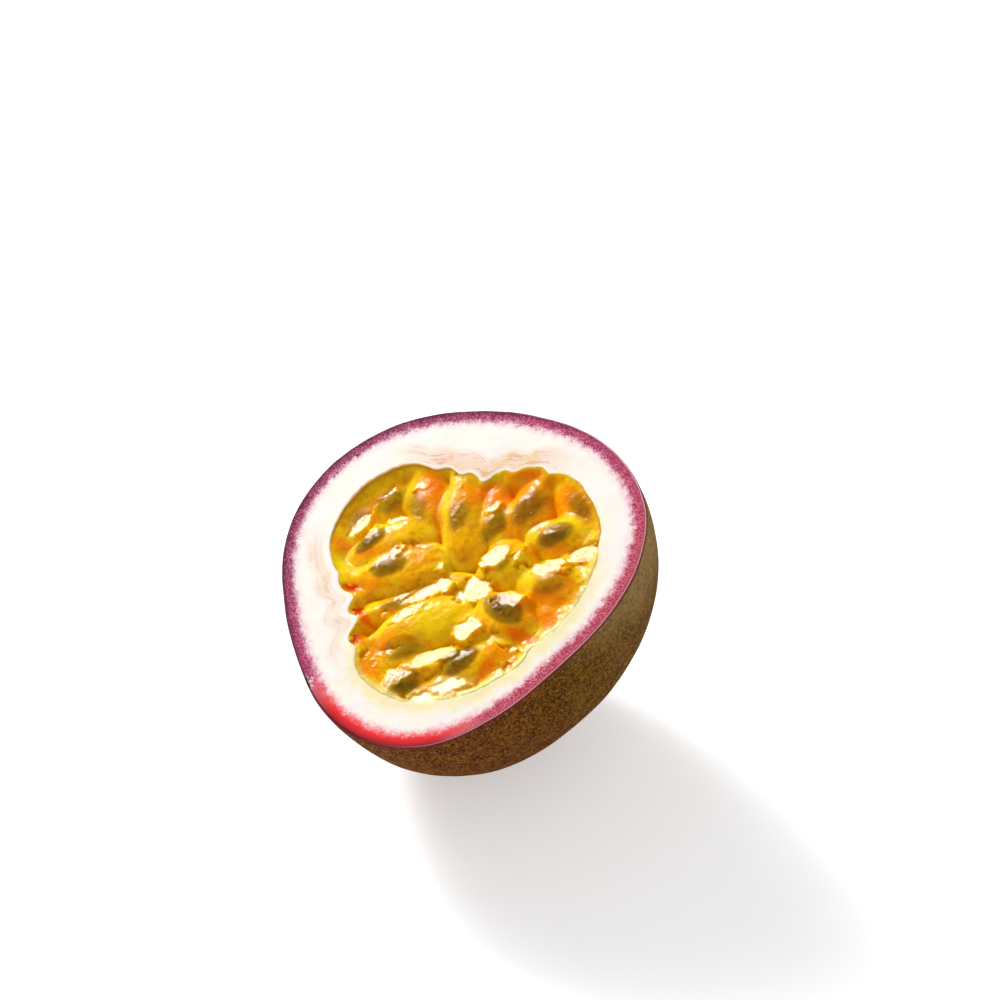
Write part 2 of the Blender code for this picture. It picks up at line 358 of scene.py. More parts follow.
profile = list(rind_profile())
bm = bmesh.new()
step_layer = bm.verts.layers.float.new("step")
chain = []
for step, (stretch, along, radius, height) in enumerate(profile):
    vertex = bm.verts.new((radius, 0, height if stretch == "skin" else step))
    vertex[step_layer] = step
    chain.append(vertex)
edges = [bm.edges.new(pair) for pair in zip(chain, chain[1:])]
bmesh.ops.spin(
    bm, geom=chain + edges, cent=(0, 0, 0), axis=(0, 0, 1), angle=math.tau, steps=TURN_STEPS, use_merge=True
)
bmesh.ops.remove_doubles(bm, verts=bm.verts, dist=0.001)
bmesh.ops.recalc_face_normals(bm, faces=bm.faces)
rind_mesh = bpy.data.meshes.new("rind_skin_and_pith")
bm.to_mesh(rind_mesh)
bm.free()

co = read_vertices(rind_mesh)
angle = np.arctan2(co[:, 1], co[:, 0])
steps = np.empty(len(co))
rind_mesh.attributes["step"].data.foreach_get("value", steps)
steps = steps.round().astype(int)
rind_mesh.attributes.remove(rind_mesh.attributes["step"])
stretch = np.array([row[0] for row in profile])[steps]
along = np.array([row[1] for row in profile])[steps]
on_skin, on_lip, on_cut, on_edge, on_wall = (
    stretch == name for name in ("skin", "lip", "cut", "edge", "wall")
)

outer = RADIUS * lobed(angle, 1) + wobbles(ring(angle, 24), RIM_WAVES) - RIM_INSET
floor_depth = DEPTH - FLOOR_THICKNESS
stalks = stalk_reach(angle)
ragged = ragged_line(angle)
hollow = CAVITY_RADIUS * lobed(angle, CAVITY_LOBES) - ridge_height(angle) + ragged

# The skin swells a little, more where it is far from the cut, and never past the fruit's outline
slant = np.cos(along)
skin_point = np.stack([np.cos(angle) * slant, np.sin(angle) * slant, -np.sin(along)], 1) * RADIUS
swell = wobbles(skin_point, SKIN_WAVES) - SKIN_INSET
skin_radius = RADIUS * slant * lobed(angle, slant) + swell * slant
scar_round = np.sqrt(np.clip(1 - (RADIUS * slant / SCAR_RADIUS) ** 2, 0, 1))
skin_height = -DEPTH * np.sin(along) - SCAR_HEIGHT * scar_round

edge_radius = hollow - stalks + CUT_ROUND
cut_from = outer - SKIN_EDGE
wall_depth = CUT_ROUND + (floor_depth - CUT_ROUND) * np.sin(along * math.pi / 2)
wall_round = np.sqrt(np.clip(1 - (wall_depth / floor_depth) ** 2, 0, 1))
wall_radius = CAVITY_RADIUS * wall_round * lobed(angle, wall_round * CAVITY_LOBES)
wall_radius = wall_radius - ridge_height(angle) * wall_round ** 2 + ragged * wall_round
wall_radius = wall_radius - stalks * np.exp(-((wall_depth - CUT_ROUND) / STALK_DEPTH) ** 2) * wall_round

new_radius = np.select(
    [on_skin, on_lip, on_cut, on_edge, on_wall],
    [
        skin_radius,
        outer - SKIN_EDGE * (1 - np.cos(along)),
        cut_from + (edge_radius - cut_from) * along,
        edge_radius - CUT_ROUND * np.sin(along),
        np.clip(wall_radius, 0, None),
    ],
)
new_height = np.select(
    [on_skin, on_lip, on_cut, on_edge, on_wall],
    [skin_height, -SKIN_EDGE * (1 - np.sin(along)), 0 * along, -CUT_ROUND * (1 - np.cos(along)), -wall_depth],
)
point = np.stack([new_radius * np.cos(angle), new_radius * np.sin(angle), new_height], 1)
uneven = wobbles(point, CUT_WAVES) - CUT_INSET
from_skin = np.where(on_skin, 0, np.clip(outer - new_radius, 0, None))
from_hollow = np.where(on_wall, 0, np.clip(new_radius - edge_radius, 0, None))
on_top = np.clip(from_skin, 0, 1) * (on_cut | on_edge)
new_height = new_height + uneven * on_top
nick = np.exp(-(gap_between(angle, NICK_ANGLE) / NICK_SPREAD) ** 2 - (from_skin / NICK_WIDTH) ** 2)
nick = nick * (1 + 0.6 * wobble(point, 0.9, 7)) * (on_lip | on_cut)
new_height = new_height - NICK_DEPTH * nick
co = stand_in_part(np.stack([new_radius * np.cos(angle), new_radius * np.sin(angle), new_height], 1))
co[:, 2] = np.maximum(co[:, 2], 0)
rind_mesh.vertices.foreach_set("co", co.ravel())
sunk = np.where(on_wall | on_edge, -new_height, 0)
for name, values in (("from_skin", from_skin), ("from_hollow", from_hollow), ("nick", nick), ("sunk", sunk)):
    rind_mesh.attributes.new(name, "FLOAT", "POINT").data.foreach_set("value", values)
is_skin = on_skin | (on_lip & (along < LIP_SKIN_TURN))
for face in rind_mesh.polygons:
    face.material_index = int(not all(is_skin[corner] for corner in face.vertices))
rind_mesh.shade_smooth()
rind = bpy.data.objects.new("rind_skin_and_pith", rind_mesh)
bpy.context.collection.objects.link(rind)


def fruit_place(finish):
    """Places in millimetres from the middle of the cut face, with Z up the fruit's axis."""
    coordinates = finish.add("ShaderNodeTexCoord", None, None, "Object")
    return finish.add(
        "ShaderNodeMapping",
        {"vector_type": "TEXTURE"},
        {"Vector": coordinates, "Location": face_middle, "Rotation": (TILT, 0, 0), "Scale": (MM, MM, MM)},
    )


def split_place(finish, place):
    """X, Y and Z of these places, one signal each."""
    return [finish.add("ShaderNodeSeparateXYZ", None, {"Vector": place}, axis) for axis in range(3)]


def turn_of(finish, place):
    """The angle round the fruit at these places."""
    place_x, place_y, _ = split_place(finish, place)
    return finish.math("ARCTAN2", place_y, place_x)


def speckle(finish, place, per_mm, detail=2.0, roughness=0.5):
    """Noise from 0 to 1 with this many lumps to the millimetre."""
    return finish.add(
        "ShaderNodeTexNoise", None,
        {"Vector": place, "Scale": per_mm, "Detail": detail, "Roughness": roughness},
    )


def bump(finish, height_signal, distance_mm, strength=1.0):
    """Relief too fine for the mesh, this many millimetres from its lowest to its highest."""
    return finish.add(
        "ShaderNodeBump", None,
        {"Strength": strength, "Distance": distance_mm * MM, "Height": height_signal},
    )


def from_attribute(finish, name):
    """A number that the mesh carries at each vertex."""
    return finish.add("ShaderNodeAttribute", {"attribute_name": name}, None, "Fac")


def near_turn(turn, degrees, spread):
    """1 at this angle round the fruit, falling to 0 by the spread either way, with no seam."""
    finish = turn.finish
    away = finish.math("WRAP", turn - math.radians(degrees), math.pi, -math.pi)
    return finish.math("ABSOLUTE", away).rising(math.radians(spread), math.radians(spread * 0.45))


# The skin: maroon where it ripened in the shade, brown and olive on the sunny side, the olive
# partly a painted reflection toward the right, with fine pale specks and dark pores all over, a
# dull natural wax on it, and a painted sheen on its right side near the cut
MAROON = ((0.050, 0.008, 0.014), (0.080, 0.014, 0.020))
BROWN = ((0.080, 0.018, 0.004), (0.150, 0.044, 0.006))
OLIVE_AND_REFLECTION = ((0.070, 0.028, 0.001), (0.165, 0.072, 0.003))
SPECKS = ((0.120, 0.030, 0.036), (0.27, 0.125, 0.020))
BRIGHT_SPECKS = ((0.26, 0.10, 0.10), (0.42, 0.24, 0.07))
PORE = (0.020, 0.005, 0.001)
PAINTED_SHEEN = (0.44, 0.30, 0.12)
CUT_SKIN = (0.16, 0.016, 0.030)
SCAR_BROWN = (0.070, 0.034, 0.016)

skin = Finish("skin", Specular_IOR_Level=0.0, Coat_Roughness=0.4, Coat_IOR=1.35)
place = fruit_place(skin)
place_x, place_y, place_z = split_place(skin, place)
blotch = speckle(skin, place, 0.07, 3.0, 0.6)
mottle = speckle(skin, place, 0.45, 5.0, 0.65)
pores = speckle(skin, place, 2.2, 3.0, 0.7)
dots = speckle(skin, place, 4.5, 1.0, 0.5)
patches = mottle.rising(0.35, 0.65)
sunny = (place_x * 0.045 + place_y * -0.012 + blotch * 1.1 - 0.4).rising(-0.3, 0.55)
# Olive toward the right side: partly the skin's own olive, partly a painted reflection
olive_reflection_side = (place_x * 0.030 + place_y * 0.030 + blotch * 1.2 - 0.75).rising(0.0, 0.7)
colour = skin.mix(sunny, skin.mix(patches, *MAROON), skin.mix(patches, *BROWN))
colour = skin.mix(olive_reflection_side * sunny, colour, skin.mix(patches, *OLIVE_AND_REFLECTION))
colour = skin.mix(pores.rising(0.53, 0.62) * 0.75, colour, skin.mix(sunny, *SPECKS))
colour = skin.mix(pores.rising(0.47, 0.38) * (0.45 + 0.4 * sunny), colour, PORE)
colour = skin.mix(dots.rising(0.62, 0.70) * 0.5, colour, skin.mix(sunny, *BRIGHT_SPECKS))
# A painted sheen: the skin toward the right, near the cut, is lightened toward beige in place of a soft
# reflection
painted_sheen_side = (place_x * 0.75 + place_y * 0.66 + place_z * 0.8).rising(16, 28) * sunny
colour = skin.mix(painted_sheen_side * (0.1 + 0.6 * pores), colour, PAINTED_SHEEN)
near_cut = place_z.rising(-0.60, -0.25)
colour = skin.mix(near_cut * 0.8, colour, CUT_SKIN)
scar = (place_x * place_x + place_y * place_y).rising(5.0, 1.5) * place_z.rising(-30, -33)
colour = skin.mix(scar * 0.85, colour, SCAR_BROWN)
relief = pores * 0.6 + mottle * 0.4
rind_mesh.materials.append(skin.surface(
    Base_Color=colour,
    Roughness=0.40 + 0.18 * mottle,
    Coat_Weight=0.02 + 0.10 * blotch,
    Normal=bump(skin, relief, 0.10, 0.5),
))

# The pith: matt and creamy, feathering into a grainy magenta edge that turns red at one side,
# with a painted shadow line along the upper left of the rim and a painted highlight on the lip
CREAM = ((0.93, 0.885, 0.78), (0.94, 0.87, 0.83))
CREAM_GRAIN = (0.88, 0.76, 0.68)
PINK_HALO = (0.88, 0.46, 0.58)
MAGENTA = ((0.26, 0.012, 0.070), (0.70, 0.130, 0.26))
DARK_MAGENTA = ((0.15, 0.008, 0.050), (0.58, 0.110, 0.24))
RED_MAGENTA = ((0.32, 0.012, 0.050), (0.78, 0.160, 0.23))
MAGENTA_LINE = (0.08, 0.004, 0.028)
RED = ((0.38, 0.001, 0.004), (0.84, 0.012, 0.018))
RED_HALO = (0.93, 0.36, 0.36)
TORN_PITH = (0.84, 0.58, 0.66)
TORN_SHADE = (0.10, 0.006, 0.02)
PEACH = (0.88, 0.65, 0.50)
FIBRE_BROWN = (0.66, 0.32, 0.24)
FIBRE_GOLD = (0.78, 0.55, 0.20)
JUICE_STAIN = (0.93, 0.76, 0.26)
WET_WALL_AND_SHADE = ((0.95, 0.68, 0.14), (0.88, 0.34, 0.004))
LIP_AND_HIGHLIGHT = ((0.075, 0.005, 0.016), (0.92, 0.45, 0.48))

pith = Finish("pith", Subsurface_Weight=0.15, Subsurface_Scale=0.8 * MM, Specular_IOR_Level=0.1)
pith.shader.inputs["Subsurface Radius"].default_value = (1.0, 0.6, 0.45)
place = fruit_place(pith)
turn = turn_of(pith, place)
depth_in = from_attribute(pith, "from_skin")
depth_out = from_attribute(pith, "from_hollow")
nick = from_attribute(pith, "nick")
feather = speckle(pith, place, 0.8, 4.0, 0.7)
grain = speckle(pith, place, 3.6, 4.0, 0.75)
cloud = speckle(pith, place, 0.2, 3.0, 0.6)
edge = depth_in + (feather - 0.5) * 2.6 + (grain - 0.5) * 1.8
creamy = pith.mix(cloud.rising(0.35, 0.65), *CREAM)
creamy = pith.mix(grain.rising(0.58, 0.75) * 0.3, creamy, CREAM_GRAIN)
colour = pith.mix(edge.rising(3.4, 1.5) * 0.8, creamy, PINK_HALO)
grainy = grain.rising(0.40, 0.64)
magenta = pith.mix(grainy, *MAGENTA)
magenta = pith.mix(near_turn(turn, 180, 75), magenta, pith.mix(grainy, *DARK_MAGENTA))
magenta = pith.mix(near_turn(turn, 10, 75), magenta, pith.mix(grainy, *RED_MAGENTA))
band = edge.rising(2.6, 1.3) * grain.rising(0.30, 0.42).most(edge.rising(1.9, 1.3))
colour = pith.mix(band, colour, magenta)
# The dark magenta line at the rim is the skin's cut edge, made darker toward the upper left as a painted
# shadow line
rim_line_and_shade = near_turn(turn, 170, 110) * 0.6 + 0.25
colour = pith.mix(edge.rising(1.1, 0.3) * rim_line_and_shade, colour, MAGENTA_LINE)
red_turn = near_turn(turn, 296, 37)
red_edge = depth_in + (feather - 0.5) * 2.2 + (grain - 0.5) * 1.0
red = pith.mix(depth_in.rising(0.35, 1.5), *RED)
colour = pith.mix(red_turn * red_edge.rising(3.3, 1.8) * 0.75, colour, RED_HALO)
colour = pith.mix(red_turn * red_edge.rising(2.5, 1.3), colour, red)
colour = pith.mix(nick.rising(0.15, 0.5) * grain.rising(0.4, 0.6), colour, TORN_PITH)
colour = pith.mix(nick.rising(0.2, 0.6) * grain.rising(0.42, 0.34), colour, TORN_SHADE)

# Pink and peach fibres run across the top of the biggest ridge, and faintly across the left one
streak_place = pith.add("ShaderNodeCombineXYZ", None, {
    "X": depth_out * 1.5,
    "Y": turn * 5.0,
    "Z": feather * 2.0,
})
streaks = speckle(pith, streak_place, 1.0, 4.0, 0.6)
fibres = near_turn(turn, 122, 44) * depth_out.rising(0.1, 0.6) * depth_out.rising(4.6, 2.2)
fibres = fibres + near_turn(turn, 236, 40) * depth_out.rising(0.6, 1.6) * depth_out.rising(4.6, 3.0) * 0.45
colour = pith.mix(fibres * 0.9, colour, PEACH)
colour = pith.mix(fibres * streaks.rising(0.52, 0.62) * 0.7, colour, FIBRE_BROWN)
colour = pith.mix(fibres * cloud.rising(0.50, 0.62) * 0.6, colour, FIBRE_GOLD)

# Juice has soaked into the edge of the hollow, most on the lower side
low_side = near_turn(turn, 330, 90)
stain = depth_out + (feather - 0.5) * 2.6 + (cloud - 0.5) * 1.5
soaked = (low_side * stain.rising(2.6, 0.6) + stain.rising(0.45, -0.3)).least(1.0)
colour = pith.mix(soaked * 0.6, colour, JUICE_STAIN)
# The hollow's wall below the cut is stained orange by juice, made darker and browner toward the upper left as
# painted shade
deep = from_attribute(pith, "sunk").rising(0.05, 0.35)
colour = pith.mix(deep * 0.9, colour, pith.mix(near_turn(turn, 160, 75), *WET_WALL_AND_SHADE))
# The outer lip of the cut is dark skin that turns pale pink toward the right: a painted highlight along the
# rim
lip_and_highlight_colour = pith.mix(near_turn(turn, 30, 105), *LIP_AND_HIGHLIGHT)
colour = pith.mix(depth_in.rising(0.34, 0.18) * 0.85, colour, lip_and_highlight_colour)
relief = feather * 0.4 + grain * 0.6
rind_mesh.materials.append(pith.surface(
    Base_Color=colour,
    Roughness=0.60 - 0.38 * soaked,
    Normal=bump(pith, relief, 0.10, 0.4),
))

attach(rind, "root")
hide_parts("rind")


# The pulp
# Clear juice sacs, each round one hard seed, grown together and wet with their own juice. They
# fill the hollow, bulge a little above the cut in the middle and lie lower along the wall.
PULP_GAP = 0.3
PULP_TOP = 1.2
BED_DEPTH = 2.8
SAC_TAPER = 0.2
SAC_FLATNESS = 0.85
SAC_BLEND = 0.7
SEAM_WIDTH = 0.35
SACS = (
    # x, y, heading, length, width, crown, fullness
    (-11.9, 4.9, -30, 15.6, 7.6, -0.5, 2.6),
    (-18.4, 1.4, -80, 11.6, 8.8, -1.3, 2.4),
    (-15.6, 6.2, -50, 10.2, 7.4, -1.1, 2.4),
    (-5.5, 6.3, -39, 18.0, 8.2, 0.5, 2.8),
    (-1.3, 9.7, -43, 13.6, 6.8, -0.3, 2.4),
    (1.8, 13.5, -74, 12.6, 8.6, -0.2, 2.4),
    (-2.8, 16.4, 46, 7.4, 5.4, -0.9, 2.2),
    (6.5, 18.4, -22, 13.2, 7.4, -0.7, 2.4),
    (-11.2, -3.4, 55, 15.6, 9.4, 0.4, 2.6),
    (-6.1, -5.4, 47, 17.4, 9.0, 0.6, 2.8),
    (-10.9, -10.0, -8, 9.6, 6.6, -0.9, 2.2),
    (-2.4, -9.9, 54, 10.6, 5.8, -0.7, 2.6),
    (1.2, -4.1, 48, 17.0, 6.8, -0.6, 4.0),
    (3.7, -9.3, 54, 18.2, 9.2, 0.8, 2.8),
    (2.2, -17.8, -1, 12.4, 7.4, -0.6, 2.4),
    (4.9, -14.1, 55, 10.8, 6.4, -0.3, 2.4),
    (7.9, -17.2, 73, 8.4, 6.5, -0.4, 2.4),
    (13.7, -14.4, 52, 9.8, 6.2, -0.4, 2.4),
    (-17.6, -7.6, 122, 8.2, 6.4, -1.2, 2.2),
    (-18.8, -2.4, 87, 7.4, 6.8, -1.4, 2.2),
    (9.0, 13.3, 50, 11.6, 8.2, 0.2, 2.4),
    (14.3, 13.0, 56, 8.6, 7.4, -0.8, 4.0),
    (9.9, -5.4, 80, 7.4, 7.4, 0.3, 2.8),
    (12.7, -0.7, 6, 11.8, 8.4, 0.9, 2.4),
    (14.5, 7.3, 28, 13.6, 9.4, 0.5, 2.6),
    (14.6, -7.8, 61, 14.6, 8.0, 0.2, 2.4),
    (19.0, -6.4, 68, 9.6, 6.2, -0.8, 2.4),
    (18.0, 4.2, 68, 9.4, 7.8, -0.5, 2.4),
    (17.6, -1.6, 78, 8.4, 6.6, -0.8, 2.2),
    (5.8, 4.7, 86, 10.2, 9.4, 0.2, 3.2),
    (9.6, -12.4, 56, 9.6, 4.4, -0.2, 2.6),
)
SEEDS = (
    # x, y, heading, length, blur, darkness
    (-13.6, -5.1, 75, 5.2, 0.26, 1.0),
    (-7.4, -6.3, 54, 5.4, 0.28, 0.9),
    (-5.1, 5.9, 121, 5.0, 0.60, 0.70),
    (0.0, 8.4, 99, 5.0, 0.45, 0.75),
    (9.1, 12.9, 61, 5.2, 0.34, 0.95),
    (2.0, 13.6, 91, 5.8, 0.60, 0.75),
    (8.4, 18.6, -4, 5.0, 0.60, 0.65),
    (12.4, -0.3, 5, 6.6, 0.24, 1.0),
    (14.8, 6.7, 46, 5.0, 0.45, 0.6),
    (13.1, -9.9, 69, 5.8, 0.18, 0.85),
    (8.4, -17.7, 68, 5.4, 0.18, 0.6),
    (-13.1, 3.4, -15, 5.4, 0.60, 0.55),
    (-17.4, 1.6, 86, 4.8, 0.60, 0.60),
    (4.2, -14.0, 52, 5.6, 0.16, 0.40),
    (-2.4, -9.5, 54, 4.6, 0.30, 0.40),
)
SEED_SHAPE = 0.6
SEED_RISE = 0.35
JUICE_SLOPE = (0.19, -0.06)
JUICE_FILMS = (
    # x, y, heading, length, width of the flat films of juice that catch the light
    (-18.1, -3.9, 103, 5.4, 2.6),
    (-18.2, 2.6, 49, 1.9, 1.4),
    (-14.5, 6.0, 49, 2.6, 1.5),
    (-13.2, 0.0, 46, 4.3, 1.5),
    (-14.6, -4.3, 89, 3.6, 1.8),
    (-8.7, -5.4, 78, 6.4, 1.9),
    (-6.2, -0.6, 31, 5.4, 0.8),
    (-1.5, -1.4, 91, 2.0, 1.0),
    (-2.1, 10.1, 83, 3.0, 1.3),
    (4.7, 4.8, 81, 5.2, 4.0),
    (7.4, 7.0, 120, 3.4, 1.0),
    (5.6, 12.5, 74, 3.9, 1.2),
    (8.1, 12.6, 109, 1.7, 1.0),
    (14.7, 13.4, 58, 5.2, 3.2),
    (12.9, 8.7, 47, 6.2, 2.8),
    (9.6, 7.6, 50, 4.4, 0.8),
    (5.4, -1.0, 42, 6.4, 4.8),
    (0.1, -5.2, 55, 9.8, 3.4),
    (-2.6, -8.3, 62, 3.6, 1.5),
    (1.2, -9.8, 66, 6.2, 2.2),
    (12.0, 1.4, 37, 5.6, 2.9),
    (10.3, -5.9, 87, 4.6, 3.8),
    (17.9, -3.7, 16, 4.6, 0.7),
    (19.5, -6.3, 18, 2.6, 1.3),
    (18.7, 9.3, 107, 2.1, 1.3),
    (7.2, -16.8, 68, 5.8, 3.2),
    (9.3, -12.3, 56, 9.0, 2.8),
    (13.0, -8.7, 70, 3.5, 1.3),
    (3.4, -15.0, 57, 2.4, 0.6),
    (0.5, -18.1, 68, 1.4, 1.0),
    (-2.5, -11.8, 45, 1.3, 0.9),
    (-11.0, 10.4, 44, 1.4, 0.8),
    (-9.1, 9.2, 126, 1.4, 0.8),
    (-6.0, 6.9, 81, 1.6, 0.6),
    (14.1, -4.6, 72, 2.2, 1.2),
    (14.6, -14.0, 52, 7.0, 2.6),
    (12.4, -17.4, 40, 5.6, 2.2),
)
FILM_EDGE = 0.16
FILM_LIFT = 0.12
FILM_SQUARENESS = 1.9
# The brown tints are partly painted shade, in creases between sacs and along the hollow's wall
TINTS = (
    # x, y, heading, length, width, tint, strength
    (-13.3, 7.5, -38, 7.0, 2.0, "red", 0.85),
    (-8.1, 4.0, -42, 8.5, 1.4, "brown", 0.9),
    (-13.0, 6.0, -38, 8.0, 2.8, "orange", 0.9),
    (-19.2, 1.5, 78, 13.3, 1.2, "brown", 0.7),
    (-17.8, -8.2, 20, 4.6, 2.2, "orange", 1.0),
    (-12.3, -6.7, 48, 5.8, 1.4, "orange", 0.9),
    (-3.8, 12.2, 48, 7.5, 2.6, "red", 0.65),
    (-5.3, 10.8, 40, 7.0, 4.0, "orange", 0.9),
    (-3.0, 16.9, 30, 6.3, 2.4, "red", 0.75),
    (-9.8, 11.9, 64, 3.8, 1.5, "orange", 0.4),
    (2.1, 14.1, -50, 7.4, 3.2, "brown", 0.7),
    (1.0, 18.6, 50, 6.0, 3.0, "orange", 0.8),
    (9.6, 19.2, -23, 8.6, 3.4, "brown", 0.8),
    (5.4, 17.0, -84, 7.5, 3.2, "orange", 0.9),
    (3.3, 9.6, -47, 6.1, 2.4, "orange", 0.6),
    (-1.4, 14.2, 50, 6.0, 2.6, "orange", 0.9),
    (7.6, 8.6, -20, 2.9, 1.5, "orange", 0.5),
    (11.0, 11.1, 49, 3.9, 1.5, "orange", 0.5),
    (16.4, 4.4, 47, 8.4, 4.6, "orange", 1.0),
    (19.6, 2.6, -11, 4.9, 2.1, "red", 0.8),
    (17.6, -1.4, 24, 6.3, 1.7, "red", 0.9),
    (17.9, 8.6, -27, 5.4, 1.5, "orange", 0.7),
    (17.2, -8.5, 102, 4.6, 1.8, "red", 0.8),
    (17.9, -5.1, 16, 6.3, 1.8, "orange", 0.9),
    (19.8, -8.5, -68, 2.2, 1.5, "orange", 0.8),
    (2.6, -19.2, 2, 4.2, 2.4, "orange", 1.0),
    (-2.2, -17.4, 78, 3.0, 1.8, "red", 0.9),
    (1.0, -15.2, 68, 5.5, 2.6, "orange", 0.9),
    (-8.6, -11.2, 50, 6.0, 2.6, "orange", 0.9),
    (-9.2, -12.8, -12, 2.0, 1.0, "red", 1.0),
    (-4.8, -14.3, -3, 2.9, 1.3, "red", 1.0),
    (-2.9, -13.4, 72, 2.7, 1.2, "orange", 0.5),
    (-2.9, -10.4, 48, 4.0, 1.0, "olive", 0.8),
    (-13.6, -11.3, -19, 5.1, 1.8, "yellow", 0.9),
    (-11.4, -10.2, 84, 1.8, 1.2, "yellow", 0.7),
    (-7.2, -1.9, 36, 6.2, 1.0, "brown", 0.5),
    (-2.7, -5.8, 63, 6.3, 1.2, "brown", 0.4),
    (5.6, -6.6, 50, 10.0, 4.4, "yellow", 0.7),
    (13.0, -9.2, -122, 3.5, 2.1, "olive", 0.7),
    (5.2, -14.2, 47, 5.9, 1.6, "olive", 0.7),
    (9.8, -17.9, 62, 4.0, 1.5, "olive", 0.9),
    (14.1, -14.1, 49, 8.0, 2.1, "pale", 0.8),
    (12.8, -18.0, 38, 4.7, 1.5, "pale", 1.0),
    (15.3, -16.2, 41, 5.7, 0.7, "yellow", 0.8),
    (5.1, 1.6, 5, 4.2, 1.8, "olive", 0.3),
    (6.7, 4.8, 91, 3.1, 1.8, "olive", 0.5),
    (11.0, 5.4, -35, 7.3, 3.4, "yellow", 0.8),
    (18.8, 6.6, -13, 5.3, 1.2, "yellow", 0.6),
    (22.4, -0.7, 86, 5.4, 1.2, "yellow", 0.8),
    (-17.0, 0.6, -15, 6.0, 2.6, "olive", 0.30),
    (-11.6, 2.9, -15, 5.8, 2.4, "olive", 0.4),
    (9.8, 15.6, 16, 6.2, 2.8, "yellow", 0.8),
    (-19.4, -3.3, 99, 3.7, 1.3, "pale", 0.5),
    (-17.8, 4.0, 40, 5.4, 2.8, "yellow", 0.8),
    (-18.1, 8.5, 45, 4.8, 2.2, "yellow", 0.8),
    (-12.6, 12.1, 45, 5.6, 2.4, "yellow", 0.8),
    (-15.4, -3.2, 60, 7.0, 2.6, "yellow", 0.7),
    (-13.8, -11.2, 30, 5.0, 2.6, "yellow", 0.9),
    (-1.9, -13.6, 30, 4.6, 2.0, "yellow", 0.9),
    (2.9, 16.2, -40, 4.0, 2.0, "brown", 0.7),
)
PITS = ((-10.3, -12.5), (-5.8, -14.2), (-2.6, -17.7))
PIT_RADIUS = 0.9
PIT_DEPTH = 0.35
LOW_WALL = 0.05
LOWER_WALL = 0.5
WALL_FILL = 1.9
TUCK_FROM = 0.15
TUCK_DEPTH = 0.5
PULP_GRID = 300
SKIRT = (-4, -7, -11, -15, -19, -23, -26)

# Unevenness: height and size of its lumps in millimetres, and seed
BENT_X = ((0.8, 5, 11), (0.35, 1.9, 12))
BENT_Y = ((0.8, 5, 13), (0.35, 1.9, 14))
TORN_X = ((0.55, 1.5, 15), (0.22, 0.6, 20))
TORN_Y = ((0.55, 1.5, 16), (0.22, 0.6, 21))
SHARD_SIZE = 0.9
SHARD_X = ((0.7, 0.5, 23),)
SHARD_Y = ((0.7, 0.5, 24),)
SAC_WAVES = ((0.07, 2.2, 17), (0.035, 0.9, 18))
FILM_WAVES = ((0.045, 2.6, 19), (0.016, 0.8, 22))


def along_and_across(x, y, middle_x, middle_y, heading):
    """Places seen from something's middle, along its heading and across it."""
    turn = math.radians(heading)
    dx = x - middle_x
    dy = y - middle_y
    return dx * math.cos(turn) + dy * math.sin(turn), dy * math.cos(turn) - dx * math.sin(turn)


def reach_from(x, y, middle_x, middle_y, heading, length, width):
    """0 in the middle of an oval and 1 on its outline."""
    along, across = along_and_across(x, y, middle_x, middle_y, heading)
    return np.hypot(2 * along / length, 2 * across / width)


def falling(reach, low, high):
    """1 below low and 0 above high, with a smooth fall between."""
    share = np.clip((high - reach) / (high - low), 0, 1)
    return share * share * (3 - 2 * share)


def bent(x, y):
    """The same places, pushed about a little so that no sac is a clean oval."""
    places = np.stack([x, y, 0 * x], 1)
    return x + wobbles(places, BENT_X), y + wobbles(places, BENT_Y)


def sac_surface(x, y):
    """Height of the sacs, how near a seam is, and the place within the sac that shows."""
    first = np.full(len(x), -BED_DEPTH)
    second = np.full(len(x), -BED_DEPTH - 1.0)
    outline, streak_along, streak_across = np.zeros((3, len(x)))
    for number, (mid_x, mid_y, heading, length, width, crown, fullness) in enumerate(SACS):
        along, across = along_and_across(x, y, mid_x, mid_y, heading)
        across = across / (1 + 2 * SAC_TAPER * np.clip(along / length, -0.5, 0.5))
        reach = np.hypot(2 * along / length, 2 * across / width)
        half = SAC_FLATNESS * width / 2
        rise = half * np.sqrt(np.clip(1 - reach ** fullness, 0, 1)) - half
        top = crown + rise - 6 * np.clip(reach - 1, 0, None)
        covers = top > first
        second = np.where(covers, first, np.maximum(second, top))
        first = np.where(covers, top, first)
        outline = np.where(covers, reach, outline)
        streak_along = np.where(covers, along + 20 * number, streak_along)
        streak_across = np.where(covers, across, streak_across)
    gap = first - second
    height = first + np.clip(SAC_BLEND - gap, 0, None) ** 2 / (4 * SAC_BLEND)
    return height, np.exp(-gap / SEAM_WIDTH), outline, streak_along, streak_across


# The grid is pressed from a square into a round shape, and then out to the hollow's wall
bm = bmesh.new()
bmesh.ops.create_grid(bm, x_segments=PULP_GRID, y_segments=PULP_GRID, size=1)
rim = [edge for edge in bm.edges if edge.is_boundary]
for depth in SKIRT:
    result = bmesh.ops.extrude_edge_only(bm, edges=rim)
    for item in result["geom"]:
        if isinstance(item, bmesh.types.BMVert):
            item.co.z = depth
    rim = [item for item in result["geom"] if isinstance(item, bmesh.types.BMEdge) and item.is_boundary]
bmesh.ops.contextual_create(bm, geom=rim)
bmesh.ops.recalc_face_normals(bm, faces=bm.faces)
pulp_mesh = bpy.data.meshes.new("pulp_sacs")
bm.to_mesh(pulp_mesh)
bm.free()

